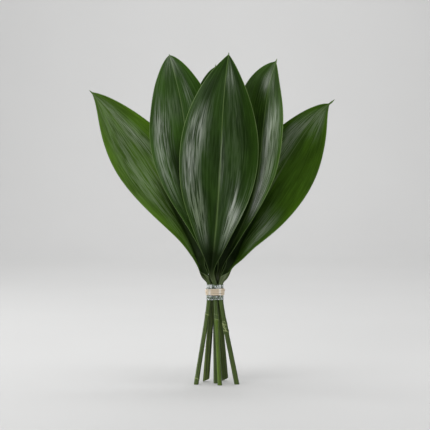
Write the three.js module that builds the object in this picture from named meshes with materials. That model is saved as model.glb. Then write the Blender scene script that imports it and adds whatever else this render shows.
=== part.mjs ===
// A bunch of six cut cast iron plant (aspidistra) leaves, tied with raffia over clear tape,
// standing on its cut stalk ends. Millimetres, +Z up, +X right. The leaves face -Y.
// The origin is on the floor, under the middle of the bunch's bounding box.
import * as THREE from 'three';

// The tie's axis, from the middle of the bounding box. The leaves' own points start there.
const TIE_AXIS = { x: 4.5, y: -2.7 };

const BLADE_EDGE = 0.6;        // thickness of a blade at its margin
const GROOVE = 1.6;            // distance from the midrib in which the fold is made
const STALK_GAP = 0.3;         // between the stalks and the tape round them
const TAPE = { low: 127, high: 150, wall: 0.4 };
const RAFFIA = { low: 134, high: 144.5, gap: 0.3, wall: 0.4, bulge: 0.6, strands: 3 };
const KNOT = { angle: 90, spread: 18, depth: 3.5, valley: 0.5 };  // degrees round, at the back
const STRAND_CREST = [0.25, 0.75];  // the flat top of a strand, as shares of its width

const BEAK = { half: 1.4, taper: 8, tipShare: 0.25 };  // the fine point at a blade's tip
const NECK_FADE = 6;           // how soon the stalk's width gives way to the blade's
const WAVE_GROWTH = 20;        // half width at which a margin's wave has its full size

const COLUMNS = 4;             // strips in each half of a leaf
const BLADE_SPACING = [[0, 1], [0.12, 1.4]];  // exponent that narrows the strips at the midrib
const BEND_STEPS = 8;          // steps in which a strip's bend is added up
const STALK_STEPS = [11, 2, 3];  // sections of a stalk: below the tie, in it and above it
const BLADE_STEPS = 27;        // sections of a blade, from the neck to the tip
const BUNCH_SIDES = 36;        // sides of the tape and the raffia round the bunch
const SPINE_STEPS = 24;        // steps in which each stretch of a spine is measured
const TANGENT_REACH = 0.5;     // how far to each side a spine's direction is measured

// The thickness of the rib under a blade and its half width, from the neck (0) to the tip (1).
const RIB = { thick: [[0.25, 1.8], [1, 0.9]], half: [[0.3, 2.2], [1, 1]] };

// How the blades bend unless a leaf says otherwise, by the share of the blade's length.
//   fold        degrees that each half rises from the midrib
//   curl        degrees that each half bends back between the midrib and its margin
//   wave        amplitude, turns and phase of the margin's wave, left and right
const BLADE = {
  fold: [[0, 48], [0.15, 34], [0.5, 2], [1, 4]],
  curl: [[0, 0], [0.3, 20], [0.7, 28], [1, 15]],
  wave: [[1, 2.5, 0.1], [1, 2.2, 0.4]],
};

// A stalk's half width at the neck and its solid core's there, its thickness below the neck and at
// it, and its groove's fold in the tie, unless a leaf says otherwise.
const STALK = { neck: 4, neckCore: 4, thick: 5.6, neckThick: 3.4, fold: 6 };

// One entry for each leaf. Its spine runs up the grooved face: foot, tie, neck, then midrib.
//   neck        the spine point where the blade begins
//   stalk       half width at the foot, in the tie and, where it flares, at the neck
//   cut         slope of the cut end, rising to the right
//   rings       swollen nodes of the stalk: height, swell and reach
//   half        greatest half width of the blade, left and right
//   widest      exponents that set how far up each half is widest (1 is half way, 1.2 higher)
//   fullness    for each half, exponents for how full it is at the base and at the tip (low is fuller)
//   beak        length of the fine point past the blade proper
//   turn        degrees that the upper face is turned to the right, along the blade
const LEAF_SHAPES = {
  leaf_centre: {
    colour: 0x2f5526,
    spine: [
      [7.2, -21, 0], [0.7, -4.5, 127], [-0.3, -4.4, 150], [-4.8, -9.4, 167], [-1.5, -17, 205],
      [3.5, -26, 262], [8, -33, 335], [11, -36, 400], [15.5, -33, 458], [20.5, -24, 497],
    ],
    neck: 3,
    stalk: { foot: 3.5, tie: 3.5 },
    cut: 0,
    rings: [[98, 0.5, 3], [105, 0.4, 2.5]],
    half: [63.4, 56], beak: 3,
    widest: [1.14, 1.16], fullness: [[0.78, 0.88], [0.9, 0.84]],
    turn: [[0, 0], [0.3, -6], [1, -8]],
  },
  leaf_left_inner: {
    colour: 0x335a29,
    spine: [
      [-13.7, 11, 0], [-4.8, 2.6, 127], [-4.8, 2.6, 150], [-6.6, 0, 167], [-18, -8.5, 212],
      [-31, -9, 283], [-41, -8, 352], [-49, -3, 415], [-59, 2, 460], [-69, 9, 497],
    ],
    neck: 3,
    stalk: { foot: 4.9, tie: 4.2 },
    cut: 0.45,
    rings: [],
    half: [56.2, 55], beak: 2,
    widest: [1.46, 1.09], fullness: [[1.12, 0.68], [0.9, 0.66]],
    turn: [[0, 12], [0.3, 0], [1, -6]],
  },
  leaf_left_outer: {
    colour: 0x3b6a2c,
    spine: [
      [-28.4, -14, 0], [-9.2, -4.5, 127], [-9.2, -4.5, 152], [-18.6, -5.6, 170], [-28.3, 11, 194],
      [-41, 14, 226], [-73, 14, 287], [-105, 17, 339], [-141, 19, 388], [-170, 20, 423], [-190, 19, 443],
    ],
    neck: 3,
    stalk: { foot: 3.5, tie: 3.2, neck: 7 },
    cut: 0,
    rings: [[9, 0.3, 2.5], [105, 0.4, 2.5]],
    half: [49.7, 48], beak: 4,
    widest: [1.35, 1], fullness: [[0.86, 1.15], [1, 0.84]],
    turn: [[0, 22], [0.06, 10], [0.5, 0], [1, -4]],
    fold: [[0, 42], [0.08, 28], [0.5, 4], [1, 6]],
  },
  leaf_right_inner: {
    colour: 0x335a29,
    spine: [
      [15.6, 18, 0], [5.8, 2.8, 127], [5.8, 2.8, 150], [6.4, 0.2, 167], [12, -4, 183], [25, -8, 208],
      [50, -10, 262], [65, -10, 318], [72, -6, 385], [81, 0, 450], [93, 8, 490],
    ],
    neck: 3,
    stalk: { foot: 4.9, tie: 4.2 },
    cut: 0.5,
    rings: [],
    half: [62, 41], beak: 5,
    widest: [1.25, 1.54], fullness: [[0.82, 0.56], [0.95, 0.94]],
    turn: [[0, -12], [0.25, -40], [0.5, -42], [1, -34]],
    fold: [[0, 48], [0.15, 34], [0.5, 10], [1, 10]],
    curl: [[0, 0], [0.3, 10], [1, 10]],
  },
  leaf_right_outer: {
    colour: 0x36651f,
    spine: [
      [33, -13, 0], [9, -4.5, 127], [9, -4.5, 152], [18.4, -5.6, 169], [28.5, 12, 189],
      [41, 14.5, 218], [68, 15, 266], [103, 18, 327], [134, 19, 375], [163, 19, 413], [181, 18, 429],
    ],
    neck: 3,
    stalk: { foot: 3.8, tie: 3.4, neck: 6.8 },
    cut: 0,
    rings: [[80, 0.8, 3], [90, 0.6, 5]],
    half: [47, 53.3], beak: 10,
    widest: [1.15, 1.25], fullness: [[0.85, 0.8], [0.73, 0.94]],
    turn: [[0, -22], [0.06, -10], [0.3, -5], [1, 0]],
    fold: [[0, 42], [0.08, 28], [0.5, 4], [1, 6]],
  },
  leaf_back: {
    colour: 0x2a4d23,
    spine: [
      [0.8, -4, 0], [0.6, 1, 40], [0.3, 7.5, 85], [0.2, 9.4, 127], [0.2, 9.4, 150], [0.5, 12.5, 162],
      [0.5, 27, 215], [0, 35, 275], [-1, 38, 340], [-2, 40, 405], [-1, 40, 450], [1, 39, 483],
    ],
    neck: 5,
    stalk: { foot: 3.1, tie: 3.1, neck: 9, thick: 5.2 },
    cut: 0,
    rings: [],
    half: [47, 50], beak: 4,
    widest: [1.1, 1.09], fullness: [[0.5, 0.62], [0.55, 0.9]],
    turn: [[0, 0]],
    fold: [[0, 4], [0.15, 8], [0.5, 2], [1, 4]],
  },
};

const LEAVES = Object.entries(LEAF_SHAPES).map(([name, shape]) => (
  { name, ...BLADE, ...shape, stalk: { ...STALK, ...shape.stalk } }
));

const radians = (degrees) => THREE.MathUtils.degToRad(degrees);

// A value that eases from one [place, value] key to the next.
function eased(place, keys) {
  const next = keys.findIndex(([at]) => place <= at);
  if (next === 0) return keys[0][1];
  if (next < 0) return keys[keys.length - 1][1];
  const [from, start] = keys[next - 1];
  const [to, end] = keys[next];
  return THREE.MathUtils.lerp(start, end, THREE.MathUtils.smoothstep(place, from, to));
}

// A leaf's spine as a curve that is walked by arc length.
function spineOf(leaf) {
  const points = leaf.spine.map(([x, y, z]) => new THREE.Vector3(x + TIE_AXIS.x, y + TIE_AXIS.y, z));
  const curve = new THREE.CatmullRomCurve3(points, false, 'centripetal');
  curve.arcLengthDivisions = SPINE_STEPS * (points.length - 1);
  const lengths = curve.getLengths();
  const reached = (point) => lengths[SPINE_STEPS * point];
  const length = reached(points.length - 1);
  return {
    foot: 0,
    tie: reached(leaf.neck - 2),
    aboveTie: reached(leaf.neck - 1),
    neck: reached(leaf.neck),
    length,
    at: (s) => curve.getPointAt(THREE.MathUtils.clamp(s / length, 0, 1)),
  };
}

// The sizes of a section across the stalk, at a length `s` from its foot.
function stalkSizes(leaf, spine, s, height) {
  const { foot, tie, neck, neckCore, thick, neckThick, fold } = leaf.stalk;
  const swell = leaf.rings.reduce((sum, [at, size, reach]) => (
    sum + size * Math.exp(-(((height - at) / reach) ** 2))
  ), 0);
  const halfTo = (atNeck) => (
    eased(s, [[0, foot], [spine.tie, tie], [spine.aboveTie, tie], [spine.neck, atNeck]]) + swell
  );
  const half = halfTo(neck);
  return {
    half: [half, half],
    rib: eased(s, [[spine.aboveTie, thick], [spine.neck, neckThick]]) + swell,
    ribHalf: halfTo(neckCore),
    turn: eased(s, [[spine.aboveTie, 0], [spine.neck, leaf.turn[0][1]]]),
    fold: eased(s, [[0, 0], [spine.aboveTie, fold], [spine.neck, leaf.fold[0][1]]]),
    curl: 0,
    spacing: 1,
    lift: [0, 0],
  };
}

// The sizes of a section across the blade, a share `t` of the way from the neck to the tip.
function bladeSizes(leaf, spine, t) {
  const length = spine.length - spine.neck;
  const lamina = Math.min(t * length / (length - leaf.beak), 1);
  const stalkShare = leaf.stalk.neck * (1 - t) ** NECK_FADE;
  const beakHalf = BEAK.half * Math.min(1, (1 - t) * length / BEAK.taper + BEAK.tipShare);
  const half = leaf.half.map((most, side) => {
    const fullness = THREE.MathUtils.lerp(...leaf.fullness[side], lamina);
    const shape = Math.max(Math.sin(Math.PI * lamina ** leaf.widest[side]), 0) ** fullness;
    return Math.max(Math.hypot(most * shape, stalkShare), beakHalf);
  });
  return {
    half,
    rib: eased(t, [[0, leaf.stalk.neckThick], ...RIB.thick]),
    ribHalf: eased(t, [[0, leaf.stalk.neckCore], ...RIB.half]),
    turn: eased(t, leaf.turn),
    fold: eased(t, leaf.fold),
    curl: eased(t, leaf.curl),
    spacing: eased(t, BLADE_SPACING),
    lift: leaf.wave.map(([size, turns, phase], side) => (
      size * Math.sin(2 * Math.PI * (turns * t + phase)) * Math.min(1, half[side] / WAVE_GROWTH)
    )),
  };
}

// One half of a section: for each column, its place across and above the midrib, the angle at
// which the face rises there, and the leaf's thickness.
function halfSection(sizes, side) {
  const half = sizes.half[side];
  const angleAt = (x) => (
    radians(sizes.fold) * (1 - Math.exp(-x / GROOVE)) - radians(sizes.curl) * (x / half) ** 2
  );
  let across = 0;
  let rise = 0;
  let reached = 0;
  return Array.from({ length: COLUMNS + 1 }, (_, column) => {
    const share = (column / COLUMNS) ** sizes.spacing;
    const x = share * half;
    const pace = (x - reached) / BEND_STEPS;
    for (let step = 0; step < BEND_STEPS; step += 1) {
      const angle = angleAt(reached + (step + 0.5) * pace);
      across += Math.cos(angle) * pace;
      rise += Math.sin(angle) * pace;
    }
    reached = x;
    const bump = Math.sqrt(Math.max(0, 1 - (x / sizes.ribHalf) ** 2));
    return {
      across,
      rise: rise + sizes.lift[side] * share ** 2,
      angle: angleAt(x),
      thickness: BLADE_EDGE + (sizes.rib - BLADE_EDGE) * bump,
    };
  });
}

// One ring of points round the leaf: the upper face from left to right, then the lower face back.
function ring(leaf, spine, s) {
  const place = spine.at(s);
  const along = spine.at(s + TANGENT_REACH).sub(spine.at(s - TANGENT_REACH)).normalize();
  const sizes = s < spine.neck
    ? stalkSizes(leaf, spine, s, place.z)
    : bladeSizes(leaf, spine, (s - spine.neck) / (spine.length - spine.neck));
  const turn = radians(sizes.turn);
  const facing = new THREE.Vector3(Math.sin(turn), -Math.cos(turn), 0);
  const up = facing.addScaledVector(along, -facing.dot(along)).normalize();
  const side = new THREE.Vector3().crossVectors(along, up);

  const upper = [];
  const lower = [];
  [-1, 1].forEach((hand, halfIndex) => {
    halfSection(sizes, halfIndex).forEach(({ across, rise, angle, thickness }, column) => {
      const point = place.clone().addScaledVector(side, hand * across).addScaledVector(up, rise);
      const under = point.clone()
        .addScaledVector(up, -thickness * Math.cos(angle))
        .addScaledVector(side, thickness * hand * Math.sin(angle));
      upper[COLUMNS + hand * column] = point;
      lower[COLUMNS + hand * column] = under;
    });
  });
  return [...upper, ...lower.reverse()];
}

// The lowest ring is cut off level with the floor, or on a slope that touches it at its left edge.
function cutEnd(points, spine, slope) {
  const along = spine.at(1).sub(spine.at(0)).normalize();
  const level = points.map((point) => point.clone().addScaledVector(along, -point.z / along.z));
  const left = Math.min(...level.map((point) => point.x));
  return level.map((point) => (
    point.addScaledVector(along, slope * (point.x - left) / (along.z - slope * along.x))
  ));
}

function faceted(coordinates, indices) {
  const geometry = new THREE.BufferGeometry();
  geometry.setAttribute('position', new THREE.Float32BufferAttribute(coordinates, 3));
  geometry.setIndex(indices);
  return geometry;
}

// A closed skin over rings that all have the same number of points, with flat ends.
// Both faces of a leaf are split along the same diagonals, so a thin blade never crosses itself.
function skin(rings) {
  const count = rings[0].length;
  const faceCount = count / 2;
  const indices = [];
  for (let row = 0; row + 1 < rings.length; row += 1) {
    for (let k = 0; k < count; k += 1) {
      const a = row * count + k;
      const b = row * count + (k + 1) % count;
      const c = b + count;
      const d = a + count;
      const onUpper = k < faceCount;
      indices.push(...(onUpper ? [a, b, c, a, c, d] : [a, b, d, b, c, d]));
    }
  }
  const top = (rings.length - 1) * count;
  for (let k = 0; k + 1 < faceCount; k += 1) {
    const facing = count - 1 - k;
    indices.push(k, facing, k + 1, k + 1, facing, facing - 1);
    indices.push(top + k, top + k + 1, top + facing, top + k + 1, top + facing - 1, top + facing);
  }
  return faceted(rings.flat().flatMap((point) => point.toArray()), indices);
}

// The places of a leaf's sections along its spine. A swollen node has three of its own.
function stations(leaf, spine) {
  const { foot, tie, aboveTie, neck, length } = spine;
  const spread = (from, to, steps) => (
    Array.from({ length: steps }, (_, k) => THREE.MathUtils.lerp(from, to, k / steps))
  );
  const nodes = leaf.rings.flatMap(([height, , reach]) => (
    [-reach, 0, reach].map((off) => tie * height / TAPE.low + off)
  ));
  return [
    ...spread(foot, tie, STALK_STEPS[0]),
    ...spread(tie, aboveTie, STALK_STEPS[1]),
    ...spread(aboveTie, neck, STALK_STEPS[2]),
    ...spread(neck, length, BLADE_STEPS),
    ...nodes,
    length,
  ].sort((a, b) => a - b);
}

function leafGeometry(leaf) {
  const spine = spineOf(leaf);
  const rings = stations(leaf, spine).map((s) => ring(leaf, spine, s));
  rings[0] = cutEnd(rings[0], spine, leaf.cut);
  return skin(rings);
}

// The corner of the bundle of stalks that lies furthest out in each direction, within the tie.
function bundleCorners() {
  const points = LEAVES.flatMap((leaf) => {
    const spine = spineOf(leaf);
    const tied = stations(leaf, spine).filter((s) => s >= spine.tie && s <= spine.aboveTie);
    return tied.flatMap((s) => ring(leaf, spine, s));
  });
  return Array.from({ length: BUNCH_SIDES }, (_, k) => {
    const angle = 360 * k / BUNCH_SIDES;
    const out = new THREE.Vector3(Math.cos(radians(angle)), Math.sin(radians(angle)), 0);
    const corner = points.reduce((best, point) => (point.dot(out) > best.dot(out) ? point : best));
    return { angle, corner, out };
  });
}

// A ring round the bundle. Its section at each angle is a closed outline of [distance out, height]
// points, listed anticlockwise as seen with the bundle on the left.
function hoop(corners, outlineAt) {
  const rings = corners.map(({ angle, corner, out }) => (
    outlineAt(angle).map(([distance, height]) => (
      [corner.x + out.x * distance, corner.y + out.y * distance, height]
    ))
  ));
  const count = rings[0].length;
  const indices = [];
  for (let k = 0; k < rings.length; k += 1) {
    const next = (k + 1) % rings.length;
    for (let m = 0; m < count; m += 1) {
      const a = k * count + m;
      const b = k * count + (m + 1) % count;
      const c = next * count + (m + 1) % count;
      const d = next * count + m;
      indices.push(a, d, c, a, c, b);
    }
  }
  return faceted(rings.flat(2), indices);
}

// The clear tape: a plain sleeve.
function tapeGeometry(corners) {
  const inner = STALK_GAP;
  const outer = inner + TAPE.wall;
  const outline = [[inner, TAPE.low], [outer, TAPE.low], [outer, TAPE.high], [inner, TAPE.high]];
  return hoop(corners, () => outline);
}

// The raffia: strands lying side by side, each one bulging outwards, with their knot at the back.
function raffiaGeometry(corners) {
  const inner = STALK_GAP + TAPE.wall + RAFFIA.gap;
  const pitch = (RAFFIA.high - RAFFIA.low) / RAFFIA.strands;
  return hoop(corners, (angle) => {
    const knot = KNOT.depth * Math.exp(-(((angle - KNOT.angle) / KNOT.spread) ** 2));
    const valley = inner + RAFFIA.wall + knot * KNOT.valley;
    const crest = inner + RAFFIA.wall + RAFFIA.bulge + knot;
    const strands = Array.from({ length: RAFFIA.strands }, (_, k) => RAFFIA.low + k * pitch);
    return [
      [inner, RAFFIA.high], [inner, RAFFIA.low], [valley, RAFFIA.low],
      ...strands.flatMap((low) => (
        [...STRAND_CREST.map((share) => [crest, low + pitch * share]), [valley, low + pitch]]
      )),
    ];
  });
}

function mesh(name, geometry, look) {
  const part = new THREE.Mesh(geometry, new THREE.MeshStandardMaterial(look));
  part.name = name;
  return part;
}

const bunch = new THREE.Group();
for (const leaf of LEAVES) {
  const look = { color: leaf.colour, roughness: 0.4, metalness: 0 };
  bunch.add(mesh(leaf.name, leafGeometry(leaf), look));
}
const corners = bundleCorners();
bunch.add(mesh('clear_tape', tapeGeometry(corners), { color: 0xdfe6e4, roughness: 0.15, metalness: 0 }));
bunch.add(mesh('raffia_tie', raffiaGeometry(corners), { color: 0xcbb894, roughness: 0.75, metalness: 0 }));

export default bunch;
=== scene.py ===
"""A bunch of six cut cast iron plant leaves, tied with raffia over clear tape. Metres, +Z up."""

import math

import bpy
import numpy as np
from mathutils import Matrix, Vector


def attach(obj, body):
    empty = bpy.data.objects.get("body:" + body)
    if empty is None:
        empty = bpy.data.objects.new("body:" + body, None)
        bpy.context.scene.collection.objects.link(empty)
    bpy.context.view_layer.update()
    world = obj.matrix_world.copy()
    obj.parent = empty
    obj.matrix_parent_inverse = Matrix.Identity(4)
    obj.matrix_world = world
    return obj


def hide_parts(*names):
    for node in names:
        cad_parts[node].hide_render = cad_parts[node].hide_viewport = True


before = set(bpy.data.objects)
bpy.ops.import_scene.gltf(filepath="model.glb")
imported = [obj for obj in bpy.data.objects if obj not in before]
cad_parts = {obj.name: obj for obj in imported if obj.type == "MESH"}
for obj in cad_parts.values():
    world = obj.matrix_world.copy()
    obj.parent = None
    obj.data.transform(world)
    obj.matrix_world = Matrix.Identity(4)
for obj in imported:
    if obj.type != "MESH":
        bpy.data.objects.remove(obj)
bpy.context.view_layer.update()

# ---------------------------------------------------------------- sizes, as in the solids

TIE_AXIS = np.array([0.0045, -0.0027, 0.0])  # from which the spines are measured
GROOVE = 0.0016             # distance from the midrib in which the fold is made
TANGENT_REACH = 0.0005      # how far to each side a spine's direction is measured
SPINE_STEPS = 24            # steps in which each stretch of a spine is measured
NECK_FADE = 6               # how soon the stalk's width gives way to the blade's
WAVE_GROWTH = 0.020         # half width at which a margin's wave has its full size
STALK = {"neck_rib": 0.004, "neck_thick": 0.0034, "fold": 6}

# The pointed end of the midrib, past the blade: its half width, the length over which it tapers and
# the share of its width left at the tip. Then the midrib, by the share of the blade's length.
BEAK = {"half": 0.0014, "taper": 0.008, "tip_share": 0.25}
RIB = {"thick": [(0.25, 0.0018), (1, 0.0009)], "half": [(0.3, 0.0022), (1, 0.001)]}

# What holds for a leaf that doesn't say otherwise. "fold" and "curl" are the degrees that each half
# of the blade rises from the midrib and bends back, by the share of the blade's length, and "wave"
# is the size, turns and phase of each margin's wave.
BLADE = {
    "fold": [(0, 48), (0.15, 34), (0.5, 2), (1, 4)],
    "curl": [(0, 0), (0.3, 20), (0.7, 28), (1, 15)],
    "wave": [(0.001, 2.5, 0.1), (0.001, 2.2, 0.4)],
    "rings": [],
    "gloss_and_painted_sheen": [((-0.5, 0.5), (0.3, 0.8), 0.3)],
    "shade": [],
    "lit": 0,
    "sheath": 1.0,
    "lip": None,
    "torn": None,
    "cut": 0,
    "neck_half": 0.004,
    "thick": 0.0056,
}

# Each leaf's spine runs up its grooved face: foot, tie, neck, then midrib. "neck" is the point
# where the blade begins, "stalk" the half widths at the foot and in the tie, "rings" the height,
# swell and reach of the stalk's nodes, and "cut" the slope of its cut end. "half", "widest" and
# "fullness" shape the blade's two halves, and "turn" is the degrees that its face turns sideways.
# The finish follows: the sheen patches are where the blade is glossier and painted pale as a sheen,
# and "shade" those painted dark as shade from the blades round it, each with its place and width
# across, its start and end along the blade, and its strength. "lit" is the side on which a blade is
# spared the painted shade at its base and stays bright down to the neck, "sheath" the height above
# which an old sheath darkens the stalk, "lip" the height and slope of the edge at which the sheath
# lets the blade out, and "torn" the heights between which it is torn.
LEAVES = {
    "leaf_centre": {
        "spine": [
            (0.0072, -0.021, 0), (0.0007, -0.0045, 0.127), (-0.0003, -0.0044, 0.150),
            (-0.0048, -0.0094, 0.167), (-0.0015, -0.017, 0.205), (0.0035, -0.026, 0.262),
            (0.008, -0.033, 0.335), (0.011, -0.036, 0.400), (0.0155, -0.033, 0.458),
            (0.0205, -0.024, 0.497),
        ],
        "neck": 3, "stalk": (0.0035, 0.0035),
        "rings": [(0.098, 0.0005, 0.003), (0.105, 0.0004, 0.0025)],
        "half": (0.0634, 0.056), "beak": 0.003,
        "widest": (1.14, 1.16), "fullness": [(0.78, 0.88), (0.9, 0.84)],
        "turn": [(0, 0), (0.3, -6), (1, -8)],
        "gloss_and_painted_sheen": [
            ((-0.68, 0.30), (0.34, 0.74), 0.75), ((-0.62, 0.36), (0.17, 0.38), 2.20),
            ((-0.42, 0.20), (0.56, 0.78), 0.45), ((0.66, 0.38), (0.14, 0.32), 1.50),
            ((0.53, 0.10), (0.26, 0.46), 0.90), ((0.92, 0.16), (0.32, 0.46), 0.70),
            ((0.03, 0.09), (0.42, 0.64), 0.80), ((0.40, 0.36), (0.44, 0.82), 0.22),
            ((0.30, 0.36), (0.86, 0.96), 1.10),
        ],
        "shade": [((0.00, 1.30), (0.00, 0.09), 0.80)],
        "green": (0.016, 0.041, 0.004), "stalk_green": (0.090, 0.158, 0.010), "sheath": 0.0975,
    },
    "leaf_left_inner": {
        "spine": [
            (-0.0137, 0.011, 0), (-0.0048, 0.0026, 0.127), (-0.0048, 0.0026, 0.150),
            (-0.0066, 0, 0.167), (-0.018, -0.0085, 0.212), (-0.031, -0.009, 0.283),
            (-0.041, -0.008, 0.352), (-0.049, -0.003, 0.415), (-0.059, 0.002, 0.460),
            (-0.069, 0.009, 0.497),
        ],
        "neck": 3, "stalk": (0.0049, 0.0042), "cut": 0.45,
        "half": (0.0562, 0.055), "beak": 0.002,
        "widest": (1.46, 1.09), "fullness": [(1.12, 0.68), (0.9, 0.66)],
        "turn": [(0, 12), (0.3, 0), (1, -6)],
        "gloss_and_painted_sheen": [
            ((-0.62, 0.36), (0.40, 0.80), 0.65), ((-0.72, 0.26), (0.20, 0.44), 0.60),
            ((0.32, 0.22), (0.74, 0.88), 0.60), ((-0.10, 0.80), (0.94, 1.05), 0.80),
            ((-0.20, 0.30), (0.70, 0.84), 0.35),
        ],
        "shade": [
            ((0.75, 1.00), (0.00, 0.60), 1.00), ((-0.20, 0.45), (0.14, 0.60), 0.95),
            ((-0.42, 0.40), (0.04, 0.26), 0.80),
        ],
        "green": (0.021, 0.056, 0.004), "stalk_green": (0.078, 0.118, 0.016),
    },
    "leaf_left_outer": {
        "spine": [
            (-0.0284, -0.014, 0), (-0.0092, -0.0045, 0.127), (-0.0092, -0.0045, 0.152),
            (-0.0186, -0.0056, 0.170), (-0.0283, 0.011, 0.194), (-0.041, 0.014, 0.226),
            (-0.073, 0.014, 0.287), (-0.105, 0.017, 0.339), (-0.141, 0.019, 0.388),
            (-0.170, 0.020, 0.423), (-0.190, 0.019, 0.443),
        ],
        "neck": 3, "stalk": (0.0035, 0.0032),
        "rings": [(0.009, 0.0003, 0.0025), (0.105, 0.0004, 0.0025)],
        "half": (0.0497, 0.048), "beak": 0.004,
        "widest": (1.35, 1), "fullness": [(0.86, 1.15), (1, 0.84)],
        "neck_half": 0.007,
        "turn": [(0, 22), (0.06, 10), (0.5, 0), (1, -4)],
        "gloss_and_painted_sheen": [
            ((-0.35, 0.45), (0.28, 0.66), 0.80), ((-0.10, 0.70), (0.66, 1.00), 0.75),
            ((0.30, 0.30), (0.50, 0.80), 0.55), ((-0.50, 0.40), (0.12, 0.34), 0.50),
        ],
        "shade": [
            ((0.50, 1.10), (0.00, 0.34), 0.95), ((0.95, 0.45), (0.30, 0.62), 0.80),
            ((0.15, 0.48), (0.12, 0.48), 0.80),
        ],
        "fold": [(0, 42), (0.08, 28), (0.5, 4), (1, 6)],
        "green": (0.050, 0.108, 0.008), "stalk_green": (0.070, 0.115, 0.014),
        "lip": (0.1665, -0.0052), "lit": -1,
    },
    "leaf_right_inner": {
        "spine": [
            (0.0156, 0.018, 0), (0.0058, 0.0028, 0.127), (0.0058, 0.0028, 0.150),
            (0.0064, 0.0002, 0.167), (0.012, -0.004, 0.183), (0.025, -0.008, 0.208),
            (0.050, -0.010, 0.262), (0.065, -0.010, 0.318), (0.072, -0.006, 0.385),
            (0.081, 0, 0.450), (0.093, 0.008, 0.490),
        ],
        "neck": 3, "stalk": (0.0049, 0.0042), "cut": 0.5,
        "half": (0.062, 0.041), "beak": 0.005,
        "widest": (1.25, 1.54), "fullness": [(0.82, 0.56), (0.95, 0.94)],
        "turn": [(0, -12), (0.25, -40), (0.5, -42), (1, -34)],
        "gloss_and_painted_sheen": [((0.50, 0.50), (0.30, 0.80), 1.30), ((0.10, 0.60), (0.84, 0.98), 0.90)],
        "shade": [((-0.60, 0.90), (0.00, 0.45), 0.85), ((0.60, 0.60), (0.00, 0.18), 0.70)],
        "fold": [(0, 48), (0.15, 34), (0.5, 10), (1, 10)],
        "curl": [(0, 0), (0.3, 10), (1, 10)],
        "green": (0.022, 0.054, 0.004), "stalk_green": (0.052, 0.082, 0.010),
    },
    "leaf_right_outer": {
        "spine": [
            (0.033, -0.013, 0), (0.009, -0.0045, 0.127), (0.009, -0.0045, 0.152),
            (0.0184, -0.0056, 0.169), (0.0285, 0.012, 0.189), (0.041, 0.0145, 0.218),
            (0.068, 0.015, 0.266), (0.103, 0.018, 0.327), (0.134, 0.019, 0.375),
            (0.163, 0.019, 0.413), (0.181, 0.018, 0.429),
        ],
        "neck": 3, "stalk": (0.0038, 0.0034),
        "rings": [(0.080, 0.0008, 0.003), (0.090, 0.0006, 0.005)],
        "half": (0.047, 0.0533), "beak": 0.010,
        "widest": (1.15, 1.25), "fullness": [(0.85, 0.8), (0.73, 0.94)],
        "neck_half": 0.0068,
        "turn": [(0, -22), (0.06, -10), (0.3, -5), (1, 0)],
        "gloss_and_painted_sheen": [
            ((-0.42, 0.46), (0.50, 0.88), 1.50), ((0.10, 0.80), (0.82, 0.98), 1.40),
            ((0.45, 0.50), (0.16, 0.38), 0.90), ((-0.05, 0.10), (0.44, 0.60), 0.50),
        ],
        "shade": [
            ((-0.50, 1.05), (0.00, 0.32), 0.95), ((-0.95, 0.40), (0.30, 0.60), 0.80),
            ((-0.15, 0.42), (0.12, 0.48), 0.75),
        ],
        "fold": [(0, 42), (0.08, 28), (0.5, 4), (1, 6)],
        "green": (0.036, 0.086, 0.004), "stalk_green": (0.062, 0.105, 0.012),
        "lip": (0.1665, 0.0052), "lit": 1, "torn": (0.079, 0.096),
    },
    "leaf_back": {
        "spine": [
            (0.0008, -0.004, 0), (0.0006, 0.001, 0.040), (0.0003, 0.0075, 0.085),
            (0.0002, 0.0094, 0.127), (0.0002, 0.0094, 0.150), (0.0005, 0.0125, 0.162),
            (0.0005, 0.027, 0.215), (0, 0.035, 0.275), (-0.001, 0.038, 0.340),
            (-0.002, 0.040, 0.405), (-0.001, 0.040, 0.450), (0.001, 0.039, 0.483),
        ],
        "neck": 5, "stalk": (0.0031, 0.0031), "neck_half": 0.009, "thick": 0.0052,
        "half": (0.047, 0.050), "beak": 0.004,
        "widest": (1.1, 1.09), "fullness": [(0.5, 0.62), (0.55, 0.9)],
        "turn": [(0, 0)],
        "fold": [(0, 4), (0.15, 8), (0.5, 2), (1, 4)],
        "green": (0.022, 0.060, 0.006), "stalk_green": (0.052, 0.086, 0.012),
    },
}

# ---------------------------------------------------------------- finer shape than the solids

COLUMNS = 56                # strips in each half of a leaf
COLUMN_SPACING = 1.3        # narrows the strips towards the midrib
ROW_PITCH = 0.0018          # length of a leaf between two rows of points
BLADE_EDGE = 0.00045        # thickness of a blade away from its midrib
STALK_SKIN = 0.00005        # thickness left at the sides of a stalk
STALK_CROWN = 0.0025        # how far a stalk's upper side is rounded off
STALK_GROOVE = (0.00035, 0.0009)  # depth and reach of the groove up a stalk
CUT_REACH = 0.010           # length of stalk over which the slope of a cut end dies out
CUT_FACE = {"slope": -0.75, "height": 0.006}  # a cut end faces down at least so much, and is so low
FIRST_SEED = 7              # for the relief of the first leaf; each next leaf has the next seed
RELIEF_WIDTH = 0.030        # half width at which a blade's relief has its full height
PLEATS = [(5, 0.00014), (9, 0.00011), (14, 0.00008), (19, 0.00005)]  # waves across, and height
PLEAT_PULSE = (0.45, 3.5, 2.2)  # share of a pleat's height that comes and goes; along and across
PLEAT_DRIFT = (0.5, 0.7)    # how far a pleat wanders sideways, and how often along the blade
BUCKLE = (0.0006, 1.7)      # the slow hollows along each half: height, and how many
MARGIN_BUCKLE = (0.00024, 3.9)  # the shorter hollows of the margin

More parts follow.
